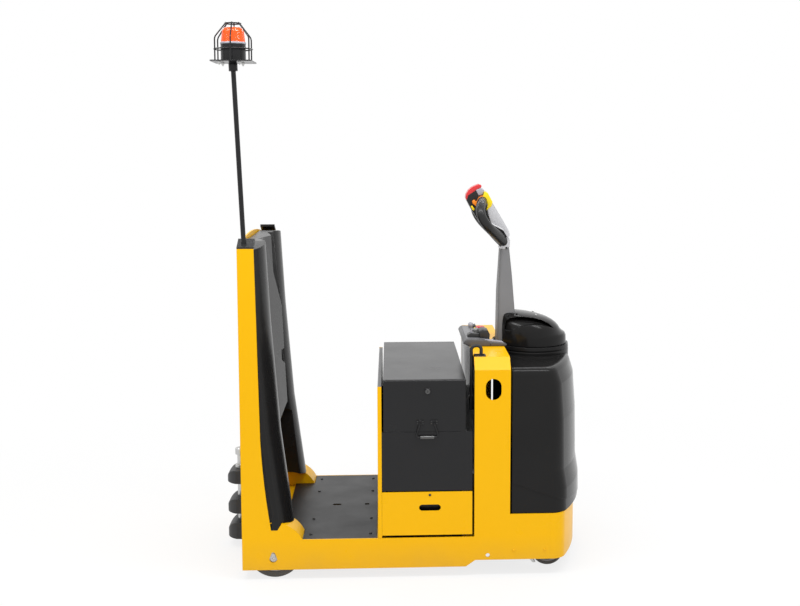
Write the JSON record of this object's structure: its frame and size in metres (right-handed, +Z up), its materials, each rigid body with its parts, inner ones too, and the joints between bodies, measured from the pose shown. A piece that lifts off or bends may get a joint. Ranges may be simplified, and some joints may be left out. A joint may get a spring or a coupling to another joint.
{
  "type": "stand-on electric tow tractor",
  "caption": "Stand-on electric tow tractor with platform, backrest, battery box, tiller steering, beacon pole and a tow coupling with a pin.",
  "frame": {"origin": "on the floor, under the middle of the whole machine's box", "axes": "+X forward, from the coupling to the drive end; +Z up; +Y to the machine's left"},
  "size_m": [1.4487, 0.802, 2.1017],
  "materials": {
    "body_yellow": "satin yellow powder coat",
    "frame_black": "satin black paint",
    "moulded_black": "glossy moulded black plastic",
    "grip_black": "grained black plastic",
    "lead_rubber": "smooth black rubber sheath",
    "mat_rubber": "ribbed black rubber",
    "tyre_black": "solid black tyre",
    "rim_grey": "grey paint",
    "cast_black": "black painted casting",
    "zinc": "zinc plated steel",
    "arm_grey": "grey painted casting",
    "console_grey": "grey plastic",
    "cover_silver": "silver grey plastic",
    "signal_red": "red plastic",
    "lens_orange": "orange clear plastic"
  },
  "bodies": {
    "chassis": {"right_side_plate": "body_yellow", "left_side_plate": "body_yellow", "front_skirt": "body_yellow", "front_cover": "moulded_black", "cover_collar": "moulded_black", "console_hoop": "body_yellow", "bulkhead": "frame_black", "platform_deck": "body_yellow", "platform_mat": "mat_rubber", "wheel_houses": "body_yellow", "rear_panel": "body_yellow", "backrest": "moulded_black", "post_caps": "grip_black", "beacon_pole": "frame_black", "beacon_mount": "frame_black", "beacon_lens": "lens_orange", "beacon_cage": "frame_black", "tow_coupling": "cast_black", "battery": "frame_black", "battery_lead": "lead_rubber", "kick_panel": "frame_black", "box_posts": "body_yellow", "box_panels": "frame_black", "console": "console_grey", "emergency_button": "signal_red", "key_switch": "zinc", "drive_frame": "frame_black", "rear_axles": "zinc"},
    "battery_lid": {"battery_lid": "frame_black", "lid_handles": "frame_black", "lid_lock": "zinc"},
    "right_door": {"right_door": "body_yellow"},
    "left_door": {"left_door": "body_yellow"},
    "tow_pin": {"tow_pin": "zinc"},
    "steering": {"dome_hood": "moulded_black", "tiller_arm": "arm_grey", "tiller_core": "grip_black", "tiller_cover": "cover_silver", "belly_button": "signal_red", "right_grip": "grip_black", "left_grip": "grip_black", "drive_unit": "cast_black"},
    "drive_wheel": {"drive_tyre": "tyre_black", "drive_rim": "rim_grey"},
    "right_castor": {"right_castor_fork": "zinc"},
    "right_castor_wheel": {"right_castor_tyre": "tyre_black", "right_castor_rim": "rim_grey"},
    "left_castor": {"left_castor_fork": "zinc"},
    "left_castor_wheel": {"left_castor_tyre": "tyre_black", "left_castor_rim": "rim_grey"},
    "right_rear_wheel": {"right_rear_tyre": "tyre_black", "right_rear_rim": "rim_grey"},
    "left_rear_wheel": {"left_rear_tyre": "tyre_black", "left_rear_rim": "rim_grey"}
  },
  "joints": [
    {"name": "steering", "type": "hinge", "parent": "chassis", "child": "steering", "pos_m": [0.5355, 0, 0.2], "axis": [0, 0, 1], "range_deg": [-90, 90]},
    {"name": "drive_wheel_spin", "type": "hinge", "parent": "steering", "child": "drive_wheel", "pos_m": [0.5355, 0, 0.115], "axis": [0, 1, 0], "continuous": true},
    {"name": "battery_lid_lift", "type": "slide", "parent": "chassis", "child": "battery_lid", "axis": [0, 0, 1], "range_m": [0, 0.25]},
    {"name": "right_door_off", "type": "slide", "parent": "chassis", "child": "right_door", "axis": [0, -1, 0], "range_m": [0, 0.12]},
    {"name": "left_door_off", "type": "slide", "parent": "chassis", "child": "left_door", "axis": [0, 1, 0], "range_m": [0, 0.12]},
    {"name": "tow_pin_lift", "type": "slide", "parent": "chassis", "child": "tow_pin", "axis": [0, 0, 1], "range_m": [0, 0.21]},
    {"name": "right_castor_swivel", "type": "hinge", "parent": "chassis", "child": "right_castor", "pos_m": [0.529, -0.275, 0.17], "axis": [0, 0, 1], "continuous": true},
    {"name": "right_castor_spin", "type": "hinge", "parent": "right_castor", "child": "right_castor_wheel", "pos_m": [0.565, -0.275, 0.0625], "axis": [0, 1, 0], "continuous": true},
    {"name": "right_rear_wheel_spin", "type": "hinge", "parent": "chassis", "child": "right_rear_wheel", "pos_m": [-0.494, -0.338, 0.105], "axis": [0, 1, 0], "continuous": true},
    {"name": "left_castor_swivel", "type": "hinge", "parent": "chassis", "child": "left_castor", "pos_m": [0.529, 0.275, 0.17], "axis": [0, 0, 1], "continuous": true},
    {"name": "left_castor_spin", "type": "hinge", "parent": "left_castor", "child": "left_castor_wheel", "pos_m": [0.565, 0.275, 0.0625], "axis": [0, 1, 0], "continuous": true},
    {"name": "left_rear_wheel_spin", "type": "hinge", "parent": "chassis", "child": "left_rear_wheel", "pos_m": [-0.494, 0.338, 0.105], "axis": [0, 1, 0], "continuous": true}
  ]
}
